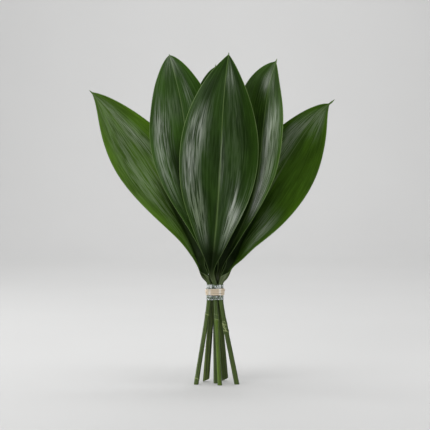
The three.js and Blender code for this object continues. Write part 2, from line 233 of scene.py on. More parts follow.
STALK_GAP = 0.0003          # between the stalks and the tape round them
OUTLINE_STEP = 2            # degrees between the points of the line round the stalks
OUTLINE_EASING = 6          # rounds in which that line is eased
TAPE = {"low": 0.127, "high": 0.150, "wall": 0.0004, "film": 0.00018, "points": 260, "rows": 30}
TAPE_SEED = 57
TAPE_CREASE = 0.00022       # how far the creases of the tape stand out
CREASES = 16                # and between what limits each lies: turns, slant, phase, place, reach
CREASE_LIMITS = ((5, -2.5, 0, 0, 0.2), (19, 2.5, 1, 1, 0.6))
TAPE_LIP = (0.00025, 0.05)  # how far the tape's lips turn out, and the share of its height
TAPE_SWAY = [(3, 0.0003, 0.2), (7, 0.0002, 0)]  # the lips' waves: number, height and phase

RAFFIA_START = 0.0010       # from the stalks to the inside of the raffia
BINDING_TURNS = [           # middle height, half width, distance out and rise across the front
    (0.1358, 0.0016, 0.00045, 0.0003),
    (0.1391, 0.0017, 0.00060, -0.0004),
    (0.1424, 0.0016, 0.00045, 0.0002),
    (0.1408, 0.0008, 0.00115, 0.0014),
]
BINDING_SWAY = [(2, 0.00025, 1), (5, 0.00015, 2)]  # waves of a turn, their height and lag
BINDING_FRONT = -0.2        # a turn rises where the cosine of its angle from the front is more
STRAND = {"thick": 0.00045, "step": 15, "ribs": 9, "rib_height": 0.22}
STRAND_FLATNESS = 0.6       # below 1, a strand's faces are flatter than an ellipse's
STRAND_SWELL = (0.10, 3, 0.37)  # share of its width that comes and goes, its waves and their lag
STRAND_TWIST = (3, 2, 0.2)  # how far its ribs wander across it, in how many waves, and their lag
KNOT = {"angle": 90, "height": 0.1395, "out": 0.0014}  # at the back
KNOT_LOOPS = [              # size across, out and up; distance out; lag; half width
    ("knot_wrap", (0.0012, 0.0013, 0.0046), 0.0004, 0.5, 0.0019),
    ("knot_over", (0.0052, 0.0011, 0.0022), 0.0010, 2.2, 0.0014),
]
KNOT_CENTRE = np.array([0, 0.0002, 0])
KNOT_POINTS = 64            # along each loop
TAILS = [(-1, 0.008, 0.013), (1, 0.006, 0.019)]  # side, reach and drop of each cut end
TAIL_POINTS = 28
TAIL = {"half": 0.0016, "narrowing": 0.35, "facing": (0.1, 1.0, 0.25)}
TAIL_PATH = {               # where a tail leaves the knot, how far it bows out, and how it drops
    "aside": 0.002, "out": 0.0022, "bulge": 0.0035, "dip": 0.001, "fall": 1.6,
}
RAFFIA_HIGHLIGHTS = [(-0.0038, 0.0028), (0.0120, 0.0024)]  # painted highlights on the raffia's front: across, and reach
FILM_HIGHLIGHTS = [(-0.0030, 0.0034), (0.0120, 0.0014)]  # painted highlights on the film's upper lip: across, and reach

# ---------------------------------------------------------------- meshes


def eased(place, keys):
    """A value that eases from one (place, value) key to the next."""
    value = np.full_like(np.asarray(place, float), keys[0][1])
    for (start, low), (end, high) in zip(keys, keys[1:]):
        share = np.clip((place - start) / (end - start), 0, 1)
        value += (high - low) * share ** 2 * (3 - 2 * share)
    return value


def unit(vectors):
    return vectors / np.linalg.norm(vectors, axis=-1, keepdims=True)


def dot(a, b):
    return np.sum(a * b, axis=-1, keepdims=True)


class Spine:
    """A smooth curve through a leaf's points, walked by its length."""

    def __init__(self, leaf):
        inner = np.array(leaf["spine"]) + TIE_AXIS
        points = np.vstack([2 * inner[0] - inner[1], inner, 2 * inner[-1] - inner[-2]])
        pace = np.linalg.norm(np.diff(points, axis=0), axis=1)[:, None] ** 0.5
        slopes = np.diff(points, axis=0) / pace
        wide = (points[2:] - points[:-2]) / (pace[1:] + pace[:-1])
        tangents = slopes[:-1] - wide + slopes[1:]
        start, end = inner[:-1], inner[1:]
        leave = tangents[:-1] * pace[1:-1]
        arrive = tangents[1:] * pace[1:-1]
        self.terms = np.stack([
            start,
            leave,
            3 * (end - start) - 2 * leave - arrive,
            2 * (start - end) + leave + arrive,
        ])
        self.places = np.arange(SPINE_STEPS * len(start) + 1) / SPINE_STEPS
        walked = np.linalg.norm(np.diff(self.point(self.places), axis=0), axis=1)
        self.lengths = np.concatenate([[0], np.cumsum(walked)])
        reached = self.lengths[::SPINE_STEPS]
        neck = leaf["neck"]
        self.tie, self.above_tie, self.neck = reached[neck - 2:neck + 1]
        self.length = reached[-1]

    def point(self, place):
        stretch = np.minimum(place.astype(int), self.terms.shape[1] - 1)
        t = (place - stretch)[:, None]
        a, b, c, d = self.terms[:, stretch]
        return a + t * (b + t * (c + t * d))

    def at(self, s):
        return self.point(np.interp(s, self.lengths, self.places))


def leaf_sizes(leaf, spine, s, height):
    """What a section of the leaf measures at each length s from its foot."""
    t = np.clip((s - spine.neck) / (spine.length - spine.neck), 0, 1)
    in_stalk = s < spine.neck
    swell = sum(size * np.exp(-((height - at) / reach) ** 2) for at, size, reach in leaf["rings"])
    foot, tie = leaf["stalk"]
    neck_rib, neck_thick = STALK["neck_rib"], STALK["neck_thick"]
    to_tie = [(0, foot), (spine.tie, tie), (spine.above_tie, tie)]
    stalk_half = eased(s, [*to_tie, (spine.neck, leaf["neck_half"])]) + swell
    stalk_rib_half = eased(s, [*to_tie, (spine.neck, neck_rib)]) + swell
    blade_length = spine.length - spine.neck
    lamina = np.minimum(t * blade_length / (blade_length - leaf["beak"]), 1)
    stalk_share = leaf["neck_half"] * (1 - t) ** NECK_FADE
    to_tip = (1 - t) * blade_length
    beak_half = BEAK["half"] * np.minimum(1, to_tip / BEAK["taper"] + BEAK["tip_share"])
    halves = []
    lifts = []
    for most, widest, (low, high), (size, turns, phase) in zip(
        leaf["half"], leaf["widest"], leaf["fullness"], leaf["wave"]
    ):
        outline = np.maximum(np.sin(np.pi * lamina ** widest), 0) ** (low + (high - low) * lamina)
        half = np.maximum(np.hypot(most * outline, stalk_share), beak_half)
        wave = size * np.sin(2 * np.pi * (turns * t + phase)) * np.minimum(1, half / WAVE_GROWTH)
        halves.append(np.where(in_stalk, stalk_half, half))
        lifts.append(np.where(in_stalk, 0, wave))
    neck_turn, neck_fold = leaf["turn"][0][1], leaf["fold"][0][1]
    stalk_rib = eased(s, [(spine.above_tie, leaf["thick"]), (spine.neck, neck_thick)]) + swell
    stalk_turn = eased(s, [(spine.above_tie, 0), (spine.neck, neck_turn)])
    stalk_fold = eased(s, [(0, 0), (spine.above_tie, STALK["fold"]), (spine.neck, neck_fold)])
    return {
        "t": t,
        "stalk": 1 - eased(s, [(spine.above_tie, 0), (spine.neck, 1)]),
        "half": halves,
        "lift": lifts,
        "rib": np.where(in_stalk, stalk_rib, eased(t, [(0, neck_thick), *RIB["thick"]])),
        "rib_half": np.where(in_stalk, stalk_rib_half, eased(t, [(0, neck_rib), *RIB["half"]])),
        "turn": np.radians(np.where(in_stalk, stalk_turn, eased(t, leaf["turn"]))),
        "fold": np.radians(np.where(in_stalk, stalk_fold, eased(t, leaf["fold"]))),
        "curl": np.radians(np.where(in_stalk, 0, eased(t, leaf["curl"]))),
    }


def half_section(sizes, side, chance):
    """Half of every section: across and above the midrib, rising angle, thickness, distances."""
    half = sizes["half"][side][:, None]
    stalk = sizes["stalk"][:, None]
    t = sizes["t"][:, None]
    column = np.linspace(0, 1, COLUMNS + 1)[None, :]
    share = stalk * np.sin(column * np.pi / 2) + (1 - stalk) * column ** COLUMN_SPACING
    x = share * half

    def angle_at(x):
        fold = sizes["fold"][:, None] * (1 - np.exp(-x / GROOVE))
        return fold - sizes["curl"][:, None] * (x / half) ** 2

    bend = angle_at((x[:, 1:] + x[:, :-1]) / 2)
    pace = np.diff(x, axis=1)
    start = np.zeros((len(x), 1))
    across = np.hstack([start, np.cumsum(np.cos(bend) * pace, axis=1)])
    rise = np.hstack([start, np.cumsum(np.sin(bend) * pace, axis=1)])
    rise += sizes["lift"][side][:, None] * share ** 2

    breadth = np.minimum(half / RELIEF_WIDTH, 1) * (1 - stalk)
    fading, along_blade, across_blade = PLEAT_PULSE
    sideways, drifts = PLEAT_DRIFT
    for count, height in PLEATS:
        phase, drift, pulse = chance.uniform(0, 1, 3)
        beat = np.sin(2 * np.pi * (along_blade * t + pulse + across_blade * share))
        strength = 1 - fading + fading * beat
        wander = sideways * np.sin(2 * np.pi * (drifts * t + drift))
        pleat = np.sin(2 * np.pi * (count * share + wander + phase))
        rise += breadth * height * strength * share * pleat
    middle_phase, margin_phase = chance.uniform(0, 1, 2)
    height, count = BUCKLE
    hollow = np.sin(2 * np.pi * (count * t + middle_phase))
    rise += breadth * height * np.sin(np.pi * share) * hollow
    height, count = MARGIN_BUCKLE
    rise += breadth * height * share * np.sin(2 * np.pi * (count * t + margin_phase))

    depth, reach = STALK_GROOVE
    round_share = np.sqrt(np.maximum(0, 1 - share ** 2))
    rise -= stalk * (STALK_CROWN * (1 - round_share) + depth * np.exp(-(x / reach) ** 2))
    keel = 0.5 + 0.5 * np.cos(np.pi * np.minimum(x / sizes["rib_half"][:, None], 1))
    rib = sizes["rib"][:, None]
    blade_thick = BLADE_EDGE + (rib - BLADE_EDGE) * keel
    stalk_thick = STALK_SKIN + rib * round_share - depth * np.exp(-(x / reach) ** 2)
    thickness = stalk * stalk_thick + (1 - stalk) * blade_thick
    return across, rise, angle_at(x), thickness, x, share, half - x


def leaf_skin(leaf, seed):
    """The points of a leaf's skin in rows from foot to tip, and two vectors for its finish:
    (share across, share along the blade, underside) and (across, from the margin, along)."""
    spine = Spine(leaf)
    chance = np.random.default_rng(seed)
    rows = int(spine.length / ROW_PITCH)
    s = np.linspace(0, spine.length, rows + 1)
    middle = spine.at(s)
    along = unit(spine.at(s + TANGENT_REACH) - spine.at(s - TANGENT_REACH))
    sizes = leaf_sizes(leaf, spine, s, middle[:, 2])
    turn = sizes["turn"]
    facing = np.stack([np.sin(turn), -np.cos(turn), np.zeros_like(turn)], axis=1)
    up = unit(facing - along * dot(facing, along))
    side = np.cross(along, up)

    count = 2 * COLUMNS + 1
    upper = np.zeros((rows + 1, count, 3))
    lower = np.zeros_like(upper)
    looks = np.zeros_like(upper)
    places = np.zeros_like(upper)
    for index, hand in enumerate((-1, 1)):
        across, rise, angle, thickness, x, share, margin = half_section(sizes, index, chance)
        columns = COLUMNS + hand * np.arange(COLUMNS + 1)
        sideways = side[:, None] * (hand * across)[..., None]
        point = middle[:, None] + sideways + up[:, None] * rise[..., None]
        lean = side[:, None] * (hand * np.sin(angle))[..., None]
        normal = up[:, None] * np.cos(angle)[..., None] - lean
        upper[:, columns] = point
        lower[:, columns] = point - normal * thickness[..., None]
        blade = np.broadcast_to(sizes["t"][:, None], x.shape)
        length = np.broadcast_to(s[:, None], x.shape)
        looks[:, columns] = np.stack([hand * share, blade, np.zeros_like(x)], axis=-1)
        places[:, columns] = np.stack([hand * x, margin, length], axis=-1)
    points = np.concatenate([upper, lower[:, ::-1]], axis=1)
    underside = looks[:, ::-1] + np.array([0, 0, 1.0])
    looks = np.concatenate([looks, underside], axis=1)
    places = np.concatenate([places, places[:, ::-1]], axis=1)

    # The foot is cut off level with the floor, or on a slope that touches it at its left edge.
    foot = points[0]
    direction = along[0]
    level = foot - direction * (foot[:, 2:] / direction[2])
    rising = leaf["cut"] * (level[:, :1] - level[:, 0].min())
    cut = level + direction * (rising / (direction[2] - leaf["cut"] * direction[0]))
    points += (cut - foot)[None] * np.clip(1 - s / CUT_REACH, 0, 1)[:, None, None]
    return points, looks, places


def deselect_all():
    bpy.ops.object.select_all(action="DESELECT")


def active(piece):
    deselect_all()
    piece.select_set(True)
    bpy.context.view_layer.objects.active = piece


def in_edit_mode(piece, *steps):
    """Runs operators on the whole of a piece's mesh."""
    active(piece)
    bpy.ops.object.mode_set(mode="EDIT")
    bpy.ops.mesh.select_all(action="SELECT")
    for step in steps:
        step()
    bpy.ops.object.mode_set(mode="OBJECT")


def merge_seam():
    bpy.ops.mesh.remove_doubles(threshold=1e-7)


def close_ends():
    bpy.ops.mesh.select_all(action="DESELECT")
    bpy.ops.mesh.select_non_manifold(extend=False)
    bpy.ops.mesh.fill()


def face_outwards():
    bpy.ops.mesh.select_all(action="SELECT")
    bpy.ops.mesh.normals_make_consistent(inside=False)


def rolled(name, points, attributes=None, loop=False):
    """A grid whose rows are bent into closed rings of points, and joined end to end if loop."""

    def closed(values):
        values = np.concatenate([values, values[:, :1]], axis=1)
        return np.concatenate([values, values[:1]]) if loop else values

    points = closed(points)
    rows, columns = points.shape[0] - 1, points.shape[1] - 1
    deselect_all()
    bpy.ops.mesh.primitive_grid_add(x_subdivisions=columns, y_subdivisions=rows, size=2)
    piece = bpy.context.object
    piece.name = name
    mesh = piece.data
    mesh.name = name
    flat = np.zeros(len(mesh.vertices) * 3)
    mesh.vertices.foreach_get("co", flat)
    flat = flat.reshape(-1, 3)
    column = np.rint((flat[:, 0] + 1) / 2 * columns).astype(int)
    row = np.rint((flat[:, 1] + 1) / 2 * rows).astype(int)
    mesh.vertices.foreach_set("co", points[row, column].ravel())
    for key, values in (attributes or {}).items():
        stored = mesh.attributes.new(key, "FLOAT_VECTOR", "POINT")
        stored.data.foreach_set("vector", closed(values)[row, column].ravel())
    steps = [merge_seam, face_outwards] if loop else [merge_seam, close_ends, face_outwards]
    in_edit_mode(piece, *steps)
    bpy.ops.object.shade_smooth_by_angle(angle=math.radians(50))
    return piece


# ---------------------------------------------------------------- finishes

# The colours that all leaves share, then those of the cut ends, the film, the raffia and the stage.
# The first two are painted sheen: pale colours where a blade catches the lights.
PAINTED_SHEEN = (0.110, 0.165, 0.070)
STRONG_PAINTED_SHEEN = (0.25, 0.31, 0.20)
KEEL = (0.055, 0.095, 0.022)
MIDRIB = (0.12, 0.19, 0.06)
# Painted shade, where the blades crowd each other and at their base.
DEEP_SHADE = (0.005, 0.012, 0.001)
MARGIN = (0.17, 0.25, 0.09)
UNDERSIDE = ((0.030, 0.060, 0.016), (0.060, 0.100, 0.034))
RIB_BELOW = (0.10, 0.15, 0.05)
MOTTLE = (0.022, 0.036, 0.006)
NODE_SCAR = (0.36, 0.44, 0.16)
TORN_SHEATH = (0.42, 0.48, 0.22)
# Painted shade on the stalks: down the side turned from the light, and at the left edge.
STALK_RIGHT_SHADE = (0.018, 0.032, 0.005)
STALK_LEFT_EDGE_SHADE = (0.020, 0.036, 0.006)
OLD_SHEATH = (0.034, 0.060, 0.012)
NECK_LINES = (0.080, 0.105, 0.040)
SHEATH_LIP = (0.15, 0.20, 0.10)
PITH = ((0.14, 0.18, 0.06), (0.42, 0.46, 0.24))
FILM = ((0.34, 0.42, 0.38), (0.86, 0.90, 0.90))
STRAW = ((0.56, 0.43, 0.27), (0.86, 0.75, 0.58))
PALE_STRAW = (0.90, 0.83, 0.70)
# Painted highlight on the raffia's front.
HIGHLIGHT_STRAW = (0.97, 0.94, 0.88)
STRAND_EDGE = (0.30, 0.19, 0.09)
PAPER = ((0.49, 0.49, 0.487), (0.51, 0.51, 0.507))

# A patch's even core, as a share of its width, and how far its soft start and end reach.
PATCH = {"core": 0.3, "start": 0.08, "before": 0.10, "after": 0.06}


class Socket:
    """An output in a material's node tree. Arithmetic on it adds Math nodes."""

    def __init__(self, tree, link=None):
        self.tree = tree
        self.link = link

    def node(self, kind, values=None, settings=None, output=0):
        """Adds a node: its settings first, then a value or a link for each named input."""
        made = self.tree.nodes.new(kind)
        for key, value in (settings or {}).items():
            setattr(made, key, value)
        for key, value in (values or {}).items():
            if isinstance(value, Socket):
                self.tree.links.new(value.link, made.inputs[key])
            else:
                made.inputs[key].default_value = value
        return Socket(self.tree, made.outputs[output])

    def math(self, operation, *values, clamp=False):
        settings = {"operation": operation, "use_clamp": clamp}
        return self.node("ShaderNodeMath", dict(enumerate(values)), settings)

    def __add__(self, other):
        return self.math("ADD", self, other)

    __radd__ = __add__

    def __sub__(self, other):
        return self.math("SUBTRACT", self, other)

    def __rsub__(self, other):
        return self.math("SUBTRACT", other, self)

    def __mul__(self, other):
        return self.math("MULTIPLY", self, other)

    __rmul__ = __mul__

    def __neg__(self):
        return self.math("MULTIPLY", self, -1)

    def __abs__(self):
        return self.math("ABSOLUTE", self)

    def clamped(self):
        return self.math("ADD", self, 0, clamp=True)

    def eased(self, start, end, low=0.0, high=1.0):
        """Eases from low to high as the value goes from start to end."""
        values = {0: self, 1: start, 2: end, 3: low, 4: high}
        return self.node("ShaderNodeMapRange", values, {"interpolation_type": "SMOOTHSTEP"})

    def near(self, middle, inner, outer):
        """1 within inner of the middle, easing to 0 at outer from it."""
        return 1 - abs(self - middle).eased(inner, outer)

    def part(self, axis):
        return self.node("ShaderNodeSeparateXYZ", {0: self}, output="XYZ".index(axis))

    def vector(self, x, y, z):
        return self.node("ShaderNodeCombineXYZ", {0: x, 1: y, 2: z})

    def mixed(self, factor, first, second):
        """A colour between two others."""
        values = {0: factor, 6: rgba(first), 7: rgba(second)}
        return self.node("ShaderNodeMix", values, {"data_type": "RGBA"}, output=2)

    def noise(self, vector, scale=1.0, detail=2.0, roughness=0.5, distortion=0.0):
        values = {
            "Vector": vector, "Scale": scale, "Detail": detail, "Roughness": roughness,
            "Distortion": distortion,
        }
        return self.node("ShaderNodeTexNoise", values)

    def bump(self, height, distance, strength=1.0):
        values = {"Strength": strength, "Distance": distance, "Height": height}
        return self.node("ShaderNodeBump", values)

    def attribute(self, name):
        settings = {"attribute_name": name}
        return self.node("ShaderNodeAttribute", settings=settings, output="Vector")

    def object_place(self):
        return self.node("ShaderNodeTexCoord", output="Object")


def rgba(colour):
    return colour if isinstance(colour, Socket) else (*colour, 1.0)


def tinted(colour, factor):
    return tuple(factor * value for value in colour)


def finish(name, look):
    """A material whose shader sockets look(root) gives, with what varies as links."""
    material = bpy.data.materials.new(name)
    material.use_nodes = True
    tree = material.node_tree
    shader = tree.nodes["Principled BSDF"]
    for key, value in look(Socket(tree)).items():
        if isinstance(value, Socket):
            tree.links.new(value.link, shader.inputs[key])
        else:
            shader.inputs[key].default_value = value
    return material


class Skin:
    """What a leaf's finish is read from: where a point lies on the leaf, and the leaf's grain."""

    def __init__(self, root, offset):
        looks = root.attribute("looks")
        place = root.attribute("place")
        self.root = root
        self.offset = offset
        self.share, self.t, self.under = (looks.part(axis) for axis in "XYZ")
        self.across, self.margin, self.along = (place.part(axis) for axis in "XYZ")
        self.height = root.object_place().part("Z")
        self.wide = self.grain(9, 9, 7)
        self.veins = self.grain(30, 22, 7, detail=3, roughness=0.6)
        self.fine = self.grain(80, 30, 5)
        self.patches = self.grain(2.5, 16, 3)
        breaks = self.grain(17, 34, 9, detail=1)
        mixture = self.veins * 0.45 + self.wide * 0.25 + self.fine * 0.18 + breaks * 0.12
        self.streaks = mixture.eased(0.43, 0.57)

    def grain(self, across, along, apart, detail=2, roughness=0.5):
        """Noise drawn out along the veins: its fineness across and along, and how far the two
        faces of the leaf lie apart in it."""
        x = self.share * across + self.offset
        place = self.root.vector(x, self.along * along, self.under * apart)
        return self.root.noise(place, detail=detail, roughness=roughness)

    def patchwork(self, places):
        """The sum of soft, long patches on a blade: (across, width), (from, to), strength."""
        total = 0
        for (across, width), (low, high), strength in places:
            side = self.share.near(across, width * PATCH["core"], width)
            start = self.t.eased(low - PATCH["start"], low + PATCH["start"])
            end = 1 - self.t.eased(high - PATCH["before"], high + PATCH["after"])
            total = side * (start * end) * strength + total
        return total


def blade_look(leaf, skin):
    """A blade's colour with its painted sheen and shade, where it is glossier and painted pale, and
    how deep its painted shade from the blades round it is.
    """
    mixed = skin.root.mixed
    green = leaf["green"]
    young = (1.5 * green[0], 1.5 * green[1], 0.004)
    depth = skin.patches.eased(0.3, 0.7) * 0.6 + skin.streaks * 0.4
    colour = mixed(depth, tinted(green, 0.60), tinted(green, 1.55))
    gloss_and_sheen_patches = skin.patchwork(leaf["gloss_and_painted_sheen"]) * (1 - skin.under)
    outer = abs(skin.share).eased(0.72, 0.98)
    colour = mixed(outer * (0.1 + 0.6 * skin.patches), colour, young)
    # Painted sheen: paler where the sheen patches are strong, paler still where they are strongest.
    colour = mixed((gloss_and_sheen_patches * skin.streaks * 0.40).clamped(), colour, PAINTED_SHEEN)
    colour = mixed(((gloss_and_sheen_patches - 1) * skin.streaks * 0.50).clamped(), colour, STRONG_PAINTED_SHEEN)

    keel_width = skin.t.eased(0.35, 0.75, 0.0034, 0.0012)
    on_keel = 1 - abs(skin.across).eased(keel_width * 0.4, keel_width)
    colour = mixed(on_keel * (0.2 + 0.5 * skin.veins), colour, KEEL)
    rib_width = skin.t.eased(0.0, 1.0, 0.0014, 0.0005)
    on_rib = 1 - abs(skin.across).eased(rib_width * 0.3, rib_width)
    colour = mixed(on_rib * (0.45 + 0.5 * skin.patches), colour, MIDRIB)

    # Painted shade: dark at the base of each blade where the blades crowd, and in the shade
    # patches.
    throat_shade = 1 - skin.t.eased(0.04, 0.22)
    if leaf["lit"]:
        throat_shade = throat_shade * (1 - (leaf["lit"] * skin.share).eased(0.0, 0.7))
    shade = (throat_shade + skin.patchwork(leaf["shade"])).clamped() * (1 - skin.under)
    colour = mixed(shade * 0.92, colour, DEEP_SHADE)
    edge = 1 - skin.margin.eased(0.0004, 0.0014)
    edge = (edge * (0.2 + 0.8 * skin.patches) * (1 - 0.55 * throat_shade)).clamped()
    colour = mixed(edge, colour, MARGIN)

    back = mixed(skin.streaks, *UNDERSIDE)
    rib_back = 1 - abs(skin.across).eased(0.0008, 0.0030)
    back = mixed(rib_back * 0.6, back, RIB_BELOW)
    return mixed(skin.under.clamped(), colour, back), gloss_and_sheen_patches, shade


def stalk_look(leaf, skin):
    """A stalk's colour, with the scars of its nodes, its old sheath and where that is torn, and
    painted shade down its right side and at its left edge.
    """
    root = skin.root
    mixed = root.mixed
    share = skin.share
    height = skin.height
    green = leaf["stalk_green"]
    lines = skin.grain(4, 9, 2, detail=4, roughness=0.65)
    mottle = skin.grain(2.5, 90, 2, detail=3, roughness=0.7)
    colour = mixed(lines.eased(0.36, 0.64), tinted(green, 0.42), tinted(green, 1.45))
    colour = mixed(mottle.eased(0.54, 0.66) * 0.45, colour, MOTTLE)
    for at, _, _ in leaf["rings"]:
        scar = (height + 0.0012 * share).near(at, 0.0003, 0.0012)
        colour = mixed(scar * (1.6 * skin.wide - 0.25), colour, NODE_SCAR)
    if leaf["torn"]:
        low, high = leaf["torn"]
        ragged = root.noise(root.vector(share * 3, skin.along * 240, 1.0), detail=3, roughness=0.7)
        within = height.eased(low, low + 0.002) * (1 - height.eased(high - 0.002, high))
        torn = within * ragged.eased(0.48, 0.56) * (1 - share.eased(-0.1, 0.5))
        colour = mixed(torn, colour, TORN_SHEATH)
    # Painted shade: darker down the stalk's right side and in a thin band at its left edge.
    colour = mixed(share.eased(0.15, 0.95) * 0.6, colour, STALK_RIGHT_SHADE)
    colour = mixed((-share).eased(0.75, 1.0) * 0.4, colour, STALK_LEFT_EDGE_SHADE)
    old_sheath = height.eased(leaf["sheath"], leaf["sheath"] + 0.001)
    colour = mixed(old_sheath * 0.60, colour, OLD_SHEATH)
    necked = height.eased(0.149, 0.153)
    return mixed(necked * lines.eased(0.40, 0.62, 0.1, 0.8), colour, NECK_LINES)


def leaf_finish(name, leaf, offset):
    """Dark blade with a streaky gloss, painted sheen and painted shade, a dull pale underside, and
    a grooved stalk.
    """
    neck = Spine(leaf).neck

    def look(root):
        skin = Skin(root, offset)
        if leaf["lip"]:
            middle, slope = leaf["lip"]
            past_lip = skin.height - middle - slope * skin.share
            blade = past_lip.eased(-0.0004, 0.0004)
        else:
            blade = skin.along.eased(neck - 0.014, neck + 0.012)
        green, gloss_and_sheen_patches, shade = blade_look(leaf, skin)
        colour = root.mixed(blade, stalk_look(leaf, skin), green)
        if leaf["lip"]:
            colour = root.mixed(past_lip.near(0, 0.0003, 0.0012) * 0.8, colour, SHEATH_LIP)
        # The coat is glossier in the sheen patches, and duller underneath and in the painted shade.
        gloss = 0.01 + skin.streaks * (0.06 + 0.85 * gloss_and_sheen_patches) + 0.06 * gloss_and_sheen_patches + 0.20 * (1 - blade)
        dulled = (1 - 0.8 * skin.under) * (1 - 0.85 * shade * blade)
        relief = skin.wide * 0.45 + skin.veins * 0.45 + skin.fine * 0.10
        return {
            "Base Color": colour,
            "Roughness": 0.48 - 0.10 * skin.streaks + 0.12 * skin.under,
            "IOR": 1.14,
            "Coat Weight": (gloss * dulled).clamped(),
            "Coat Roughness": 0.30,
            "Coat IOR": 2.0,
            "Normal": root.bump(relief, 0.0006),
        }

    return finish(name, look)


def cut_end_finish():
    """Pale, moist pith with darker bundles of fibre."""

    def look(root):
        values = {"Vector": root.object_place(), "Scale": 1400.0}
        bundles = root.node("ShaderNodeTexVoronoi", values)
        return {"Base Color": root.mixed(bundles.eased(0.15, 0.45), *PITH), "Roughness": 0.5}

    return finish("cut_pith", look)


def tape_finish():
    """Clear film, whitish in its creases, partly as painted highlights on them, with painted white
    highlights on its upper lip.
    """

    def look(root):
        place = root.attribute("looks")
        turn, rise = place.part("X"), place.part("Y")
        x = root.object_place().part("X")
        crease_place = root.vector(turn * 18, rise * 5, 0.0)
        creases = root.noise(crease_place, detail=3, roughness=0.6, distortion=0.8)
        milky_and_highlight = creases.eased(0.50, 0.66)
        # Painted highlights: white patches on the film's upper lip.
        for middle, reach in FILM_HIGHLIGHTS:
            fold = x.near(middle, reach * 0.6, reach) * rise.eased(0.74, 0.82)
            milky_and_highlight = (milky_and_highlight + fold * 1.2 * creases.eased(0.3, 0.5)).clamped()
        return {
            "Base Color": root.mixed(milky_and_highlight, *FILM),
            "Alpha": 0.16 + 0.50 * milky_and_highlight,
            "Roughness": 0.10,
            "IOR": 1.9,
            "Coat Weight": 1.0,
            "Coat IOR": 1.8,
            "Coat Roughness": 0.05,
            "Normal": root.bump(creases, 0.0006, strength=0.7),
        }

    return finish("clear_film", look)


def raffia_finish():
    """Dry straw-coloured fibre with fine lengthwise threads, and painted highlights across its
    front.
    """

    def look(root):
        place = root.attribute("looks")
        across, along, strand = (place.part(axis) for axis in "XYZ")
        x = root.object_place().part("X")
        thread_place = root.vector(across * 9, along * 60, strand * 5)
        threads = root.noise(thread_place, detail=3, roughness=0.65)
        patches = root.noise(root.vector(across * 1.5, along * 160, strand * 3))
        straw = root.mixed(threads.eased(0.3, 0.7), *STRAW)
        straw = root.mixed(patches.eased(0.55, 0.8) * 0.6, straw, PALE_STRAW)
        # Painted highlights: near-white patches across the front of the raffia.
        for middle, reach in RAFFIA_HIGHLIGHTS:
            raffia_highlight = x.near(middle, reach * 0.2, reach)
            straw = root.mixed(raffia_highlight * (0.3 + 0.7 * threads.eased(0.35, 0.6)), straw, HIGHLIGHT_STRAW)
        straw = root.mixed(abs(across).eased(0.62, 0.98) * 0.7, straw, STRAND_EDGE)
        return {
            "Base Color": straw,
            "Roughness": 0.45,
            "Coat Weight": threads.eased(0.40, 0.60),
            "Coat Roughness": 0.22,
            "Coat IOR": 1.8,
            "Normal": root.bump(threads, 0.0003, strength=0.8),
        }

    return finish("raffia_fibre", look)


# ---------------------------------------------------------------- pieces


def dress(piece, node, slot, *materials):
    """Gives a piece its finishes, hangs it under the root body and hides the solid it stands for.
    """
    for material in materials:
        piece.data.materials.append(material)
    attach(piece, "root")
    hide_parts(node)


def make_leaf(name, number, cut_end):
    """A leaf, blade and stalk in one, and the points of its skin."""
    leaf = {**BLADE, **LEAVES[name]}
    points, looks, place = leaf_skin(leaf, FIRST_SEED + number)
    piece = rolled(name + "_grown", points, {"looks": looks, "place": place})
    dress(piece, name, "leaf", leaf_finish(name + "_finish", leaf, 11.0 * number), cut_end)
    for face in piece.data.polygons:
        down = face.normal.z < CUT_FACE["slope"] and face.center.z < CUT_FACE["height"]
        if down and len(face.vertices) != 4:
            face.material_index = 1
    return points


def bundle_outline(skins):
    """A closed line round the stalks in the tie, evenly spaced, and its outward directions."""
    points = np.concatenate([skin.reshape(-1, 3) for skin in skins])
    inside = (points[:, 2] >= TAPE["low"]) & (points[:, 2] <= TAPE["high"])
    flat = points[inside][:, :2]
    angles = np.radians(np.arange(0, 360, OUTLINE_STEP))
    out = np.stack([np.cos(angles), np.sin(angles)], axis=1)
    corners = flat[np.argmax(out @ flat.T, axis=1)] + out * STALK_GAP
    closed = np.concatenate([corners, corners[:1]])
    walked = np.concatenate([[0], np.cumsum(np.linalg.norm(np.diff(closed, axis=0), axis=1))])
    places = np.linspace(0, walked[-1], TAPE["points"], endpoint=False)
    line = np.stack([np.interp(places, walked, closed[:, axis]) for axis in (0, 1)], axis=1)
    for _ in range(OUTLINE_EASING):
        line = line * 0.5 + (np.roll(line, 1, axis=0) + np.roll(line, -1, axis=0)) * 0.25
    ahead = unit(np.roll(line, -1, axis=0) - np.roll(line, 1, axis=0))
    outward = np.stack([ahead[:, 1], -ahead[:, 0]], axis=1)
    return line, outward


